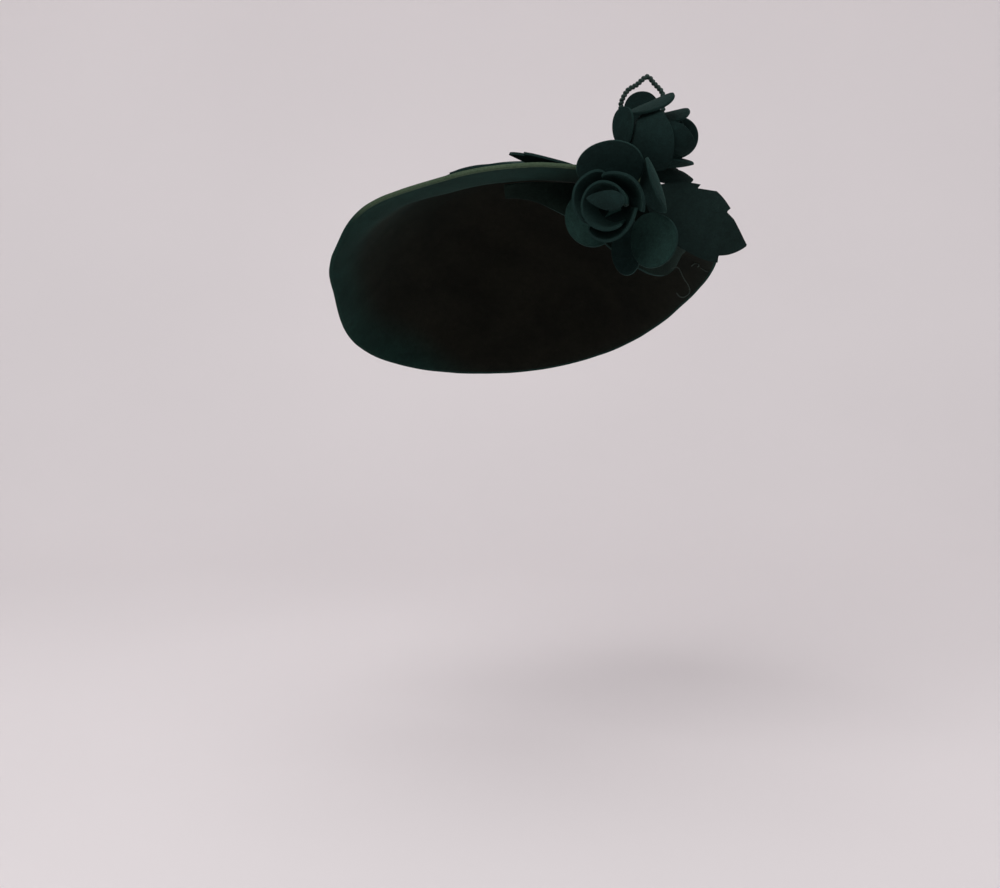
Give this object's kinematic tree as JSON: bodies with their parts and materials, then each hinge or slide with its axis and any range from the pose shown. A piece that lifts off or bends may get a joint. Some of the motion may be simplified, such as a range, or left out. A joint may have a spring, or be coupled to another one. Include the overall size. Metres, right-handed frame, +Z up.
{
  "type": "velvet hat",
  "caption": "Shallow velour felt hat with a creased front brim, worn tipped back, trimmed under the brim with felt roses, serrated leaves and a wound wire loop.",
  "frame": {"origin": "inside top of the crown, where a head carries the hat", "axes": "the hat is held as it is worn: +X to the right of someone facing the wearer, -Y towards them, +Z up"},
  "size_m": [0.2484, 0.2189, 0.1967],
  "materials": {
    "velour_felt": "dark green velour with a raw pale cut edge",
    "petal_felt": "dark green velour felt",
    "leaf_felt": "dark green velour felt",
    "thread": "dark green thread"
  },
  "bodies": {
    "root": {"hat_body": "velour_felt", "bandeau": "velour_felt", "leaf_top": "leaf_felt", "leaf_left": "leaf_felt", "leaf_right": "leaf_felt", "leaf_small": "leaf_felt", "rose_low_heart": "petal_felt", "rose_low_fold": "petal_felt", "rose_low_wrap_1": "petal_felt", "rose_low_wrap_2": "petal_felt", "rose_low_wrap_3": "petal_felt", "rose_low_petal_1": "petal_felt", "rose_low_petal_2": "petal_felt", "rose_low_petal_3": "petal_felt", "rose_low_petal_4": "petal_felt", "rose_low_petal_5": "petal_felt", "rose_high_heart": "petal_felt", "rose_high_wrap_1": "petal_felt", "rose_high_wrap_2": "petal_felt", "rose_high_petal_1": "petal_felt", "rose_high_petal_2": "petal_felt", "rose_high_petal_3": "petal_felt", "rose_high_petal_4": "petal_felt", "rose_high_petal_5": "petal_felt", "rose_high_petal_6": "petal_felt", "stem_loop": "thread", "rose_low_stem": "thread", "rose_high_stem": "thread"}
  },
  "joints": []
}
